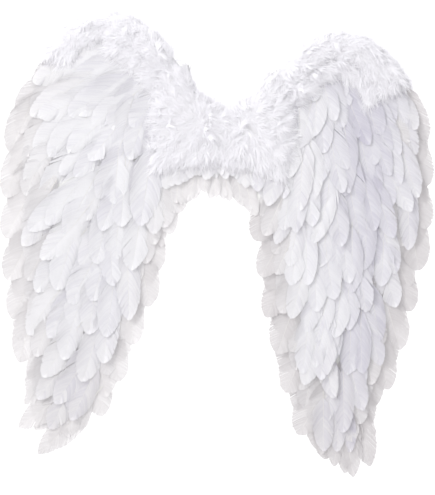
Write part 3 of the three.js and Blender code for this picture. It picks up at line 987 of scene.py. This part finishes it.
def root_pieces(side, wing):
    """The fluff and the short feathers that hide each hinge and lie across it."""
    sign = SIDES[side]
    middle, wing_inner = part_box("centre_fluff")[1].x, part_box("right_wing_lining")[0].x
    rng = np.random.default_rng(103 + sign)
    inside, outside = middle - 0.022, wing_inner + 0.048
    outline = [(inside, -0.022), (outside, -0.046), (outside, 0.116), (wing_inner, 0.111)]
    outline += [(middle + 0.008, 0.078), (inside, 0.052)]
    core = pillow(rng, outline, -0.0122, 0.0116, 0.022, 0.001)

    def flow(places):
        lift = (places[:, 2] - 0.024) / 0.04
        aside = np.clip((np.abs(places[:, 0]) - 0.034) / 0.02, -0.5, 0.8) * sign
        return np.stack([aside, np.zeros(len(places)), lift - 0.3], -1)

    def free(place):
        return place[2] > 0.052 and not wing.contains((sign * place[0] + 0.008, place[2] - 0.004))

    batch = Batch()
    grow_fluff(batch, mirrored(core, sign), ROOT_TUFTS, rng, flow, free)
    piece = batch.build(f"{side}_root_plumes", MATERIALS["down"])
    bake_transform(piece)

    for kind, z, slant, depth in (
        ("hanging", -0.088, -0.60, 0.0118),
        ("short", -0.056, -0.45, 0.0150),
    ):
        look, feather = CENTRE_FEATHERS[kind]
        batch = Batch()
        for i in range(ROOT_FEATHERS):
            x = middle - 0.004 + 0.058 * (i + 0.5) / ROOT_FEATHERS
            tip = (x, z + slant * (x - middle) + rng.normal(0, 0.004))
            size = rng.uniform(0.058, 0.072), rng.uniform(0.022, 0.029)
            angle = 0.12 + rng.normal(0, 0.1)
            add_feather(batch, rng, sign, tip, angle, size, depth + 0.001 * (i % 2), 0.002, look)
        piece = batch.build(f"{side}_root_{kind}_feathers", MATERIALS[feather])
        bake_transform(piece)


# ---- The worn side -------------------------------------------------------------------------------

WORN_SIDE = np.array([0.0, 1.0, 0.0])
CORNER_STEPS = 6
STITCH_RINGS, STITCH_CORNERS = 5, 6
SLEEVE_RINGS, SLEEVE_CORNERS = 44, 24
SLEEVE_LAYERS = ((0.0003, 0.0003), (0.0012, 0.0))  # how far in from the CAD radius, and wrinkles
STRAP_X = 0.028  # from the middle to each strap's middle
STRAP_THICKNESS = 0.0015
STRAP_SAMPLES = 160


def felt_piece(name, node, body, outline, relief, kind, cell):
    """Felt in a CAD node's place; relief, from points and how far in they lie, lifts its worn face."""
    low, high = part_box(node)
    flat, far, tris = flat_triangles(outline, cell)
    points, faces = closed_solid(flat, tris, high.y + relief(flat, far), low.y, 1)
    piece = mesh_object(name, points, [faces], MATERIALS[kind], smooth=True)
    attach(piece, body)
    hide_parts(node)
    return piece


def stitches(name, path, length, gap, radius, body):
    """Running stitches along a path of points, each a short thread that dips into the cloth."""
    path = np.asarray(path)
    run = distances(path)
    batch = Batch()
    share = np.linspace(0, 1, STITCH_RINGS)
    lift = radius * (1.6 * np.sin(np.pi * share) - 0.6)
    turn = np.linspace(0, 2 * np.pi, STITCH_CORNERS + 1)[None, :, None]
    for start in np.arange(0, run[-1] - length, length + gap):
        places = start + share * length
        middle = np.stack([np.interp(places, run, path[:, i]) for i in range(3)], -1)
        middle = middle + lift[:, None] * WORN_SIDE
        ahead = unit(np.gradient(middle, axis=0))
        aside = unit(np.cross(ahead, WORN_SIDE))
        up = np.cross(aside, ahead)
        ring = np.cos(turn) * aside[:, None] + np.sin(turn) * up[:, None]
        points = (middle[:, None] + radius * ring).reshape(-1, 3)
        batch.add(points, strip_faces(1, STITCH_RINGS, STITCH_CORNERS + 1))
    piece = batch.build(name, MATERIALS["thread"])
    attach(piece, body)


def wing_lining(side, wing):
    sign, node, body = SIDES[side], f"{side}_wing_lining", f"{side}_wing"
    low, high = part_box(node)
    outline = wing.loop * np.array([sign, 1])

    def relief(flat, far):
        wire = 0.0013 * np.exp(-(((far - 0.005) / 0.0035) ** 2))
        hem = -0.0012 * np.exp(-((far / 0.0025) ** 2))
        waves = 0.0005 * np.sin(flat[:, 0] * 61 + 2.2 * np.sin(flat[:, 1] * 23))
        waves += 0.0004 * np.sin(flat[:, 1] * 74 + 1.7 * np.sin(flat[:, 0] * 31))
        return wire + hem + waves * np.clip((far - 0.012) / 0.02, 0, 1)

    piece = felt_piece(f"{side}_lining_felt", node, body, outline, relief, "felt", 0.007)
    abs(signed_area(wing.loop))
    inset = wing.loop - wing.out * 0.0105
    path = np.stack([sign * inset[:, 0], np.full(len(inset), high.y + 0.0002), inset[:, 1]], -1)
    stitches(f"{side}_lining_stitches", path[::2], 0.0042, 0.0026, 0.0004, body)


def rounded_outline(width, height, corner, centre=(0, 0)):
    points = []
    for i, (sx, sz) in enumerate(((1, 1), (-1, 1), (-1, -1), (1, -1))):
        for k in range(CORNER_STEPS + 1):
            angle = math.pi / 2 * (i + k / CORNER_STEPS)
            x = centre[0] + sx * (width / 2 - corner) + corner * math.cos(angle)
            z = centre[1] + sz * (height / 2 - corner) + corner * math.sin(angle)
            points.append((x, z))
    return np.array(points)


def back_pad():
    low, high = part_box("back_pad")
    width, height = high.x - low.x, high.z - low.z
    outline = rounded_outline(width, height, 0.014)

    def relief(flat, far):
        seam = -0.0010 * np.exp(-(((far - 0.0062) / 0.0012) ** 2))
        quilt = 0.0002 * np.sin(flat[:, 0] * 190) * np.sin(flat[:, 1] * 170)
        return -0.0034 * (1 - rounding(far, 0.011)) + seam + quilt

    piece = felt_piece("back_pad_felt", "back_pad", "centre", outline, relief, "pad_felt", 0.003)
    seam = rounded_outline(width - 0.0124, height - 0.0124, 0.0085)
    seam = np.vstack([seam, seam[:1]])
    path = np.stack([seam[:, 0], np.full(len(seam), high.y - 0.0012), seam[:, 1]], -1)
    stitches("back_pad_stitches", path, 0.0034, 0.0022, 0.00035, "centre")


def strap_patches():
    for name in ("upper_strap_patch", "lower_strap_patch"):
        low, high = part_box(name)
        centre = ((low.x + high.x) / 2, (low.z + high.z) / 2)
        outline = rounded_outline(high.x - low.x, high.z - low.z, 0.003, centre)

        def relief(flat, far):
            bands = np.exp(-(((np.abs(flat[:, 0]) - STRAP_X) / 0.0105) ** 8))
            return -0.0012 * (1 - rounding(far, 0.003)) - 0.0005 + 0.0005 * bands

        felt_piece(f"{name}_felt", name, "centre", outline, relief, "pad_felt", 0.0022)
        half, rise = 0.0085, (high.z - low.z) / 2 - 0.0022
        corners = [(-half, -rise), (half, -rise), (half, rise), (-half, rise), (-half, -rise)]
        corners += [(half, rise), (half, -rise), (-half, rise)]
        for side, sign in SIDES.items():
            path = [(sign * STRAP_X + a, high.y - 0.0003, centre[1] + b) for a, b in corners]
            stitches(f"{side}_{name}_stitches", path, 0.0024, 0.0014, 0.0003, "centre")


def spine_sleeves():
    for side in SIDES:
        node = f"{side}_spine_sleeve"
        low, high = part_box(node)
        centre, radius = (low + high) / 2, (high.x - low.x) / 2
        z = np.linspace(low.z, high.z, SLEEVE_RINGS)[:, None]
        turn = np.linspace(0, 2 * np.pi, SLEEVE_CORNERS + 1)[None]
        layers = []
        for inwards, wrinkle in SLEEVE_LAYERS:
            size = radius - inwards + wrinkle * np.sin(z * 900 + 2 * np.sin(turn) * 2)
            x, y = centre.x + size * np.cos(turn), centre.y + size * np.sin(turn)
            layers.append(np.stack([x, y, np.broadcast_to(z, x.shape)], -1).reshape(-1, 3))
        outer = strip_faces(1, SLEEVE_RINGS, SLEEVE_CORNERS + 1)
        inner = outer[:, ::-1] + len(layers[0])
        ends = []
        for row, way in ((0, 1), (SLEEVE_RINGS - 1, -1)):
            first = row * (SLEEVE_CORNERS + 1) + np.arange(SLEEVE_CORNERS)
            ring = np.stack([first, first + 1], 1)
            ends.append(np.hstack([ring, ring[:, ::-1] + len(layers[0])])[:, ::way])
        points, faces = np.vstack(layers), [outer, inner, *ends]
        piece = mesh_object(f"{side}_sleeve_tape", points, faces, MATERIALS["tape"], smooth=True)
        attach(piece, "centre")
        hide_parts(node)


def shoulder_straps():
    """The elastic bands, rebuilt along the middle of the CAD bands, with rolled woven edges."""
    for side, sign in SIDES.items():
        node = f"{side}_shoulder_strap"
        low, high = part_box(node)
        vertices = np.array([v.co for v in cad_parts[node].data.vertices])
        edge = vertices[np.abs(vertices[:, 0] - low.x) < 1e-5][:, 1:]
        path = strap_middle(np.unique(np.round(edge, 6), axis=0))
        run = distances(path)
        places = np.linspace(0, run[-1], STRAP_SAMPLES)
        middle = np.stack([np.interp(places, run, path[:, i]) for i in (0, 1)], 1)
        middle[1:-1] = (middle[:-2] + 2 * middle[1:-1] + middle[2:]) / 4
        along = unit(np.gradient(middle, axis=0))
        normal = np.stack([-along[:, 1], along[:, 0]], 1)
        profile = strap_profile((high.x - low.x) / 2)
        corners = len(profile)
        points = np.zeros((STRAP_SAMPLES, corners, 3))
        points[..., 0] = (low.x + high.x) / 2 + profile[None, :, 0]
        ripple = 0.00012 * np.sin(places * 1500)[:, None]
        up = profile[None, :, 1] + ripple * np.sign(profile[None, :, 1])
        points[..., 1:] = middle[:, None] + normal[:, None] * up[..., None]
        sides = strip_faces(1, STRAP_SAMPLES, corners)
        wrap = np.arange(STRAP_SAMPLES - 1) * corners
        closing = [wrap + corners - 1, wrap + 2 * corners - 1, wrap + corners, wrap]
        faces = [sides, np.stack(closing, 1)]
        points = points.reshape(-1, 3)
        elastic = MATERIALS["elastic"]
        piece = mesh_object(f"{side}_strap_elastic", points, faces, elastic, smooth=True)
        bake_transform(piece)
        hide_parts(node)


def strap_middle(edge):
    """The middle line of a band, in order, from the points along one of its flat sides."""
    apart = np.linalg.norm(edge[:, None] - edge[None], axis=-1)
    np.fill_diagonal(apart, 9)
    mates = np.argmin(apart, axis=1)
    waiting = [tuple(p) for p in np.unique(np.round((edge + edge[mates]) / 2, 5), axis=0)]
    path = [max(waiting, key=lambda p: p[1] - 5 * abs(p[0] + 0.004))]
    while waiting:
        path.append(min(waiting, key=lambda p: math.dist(p, path[-1])))
        waiting.remove(path[-1])
    return np.array(path[1:])


def strap_profile(half):
    """The band's section, half its width to each side: flat faces with thicker rolled edges."""
    x = np.linspace(-half, half, 7)
    rise = STRAP_THICKNESS / 2 * (1 + 0.25 * (np.abs(x) > 0.8 * half))
    return np.vstack([np.stack([x, rise], 1), np.stack([x, -rise], 1)[::-1]])


# ---- Assembly ------------------------------------------------------------------------------------

CAD_MATERIALS = {"board": "board", "backing": "board", "wire": "steel", "crimp": "steel"}


def paint_cad_nodes():
    """Gives the CAD nodes that stay visible their materials, by the last word of their names."""
    for name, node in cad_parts.items():
        kind = CAD_MATERIALS.get(name.rsplit("_", 1)[-1])
        if kind:
            node.data.materials.clear()
            node.data.materials.append(MATERIALS[kind])


def dress_wing(side, wing):
    row_feathers(side, wing)
    outer_top = wing.outer_at(0.135)
    inner_top = wing.inner_at({"left": -0.098, "right": -0.124}[side])
    flight_feathers(side, wing, "outer", outer_top, wing.tip + 2)
    flight_feathers(side, wing, "inner", wing.tip + 10, inner_top)
    wing_fluff(side, wing)
    root_pieces(side, wing)
    wing_lining(side, wing)


make_camera()
make_studio()

# Feather colours: cool white, a warm grey that is partly painted shade, and the darker colour that
# tone mixes in for random tone and painted shade.
MATERIALS = {
    "covert": feather_material(
        "covert_feather", (0.845, 0.842, 0.868), (0.79, 0.775, 0.785), (0.53, 0.51, 0.61), 0.2
    ),
    "flight": feather_material(
        "flight_feather", (0.80, 0.79, 0.81), (0.745, 0.728, 0.738), (0.56, 0.535, 0.545), 0.1
    ),
    "down": down_material(),
    "felt": felt_material("lining_felt", (0.82, 0.82, 0.815), (0.74, 0.74, 0.735)),
    "pad_felt": felt_material("pad_felt", (0.84, 0.835, 0.82), (0.76, 0.755, 0.74)),
    "elastic": elastic_material(),
    "tape": tape_material(),
    "thread": thread_material(),
    "board": board_material(),
    "steel": steel_material(),
}

paint_cad_nodes()
wing_outline = WingOutline()
for wing_side in SIDES:
    dress_wing(wing_side, wing_outline)
centre_fluff()
centre_feathers()
back_pad()
strap_patches()
spine_sleeves()
shoulder_straps()
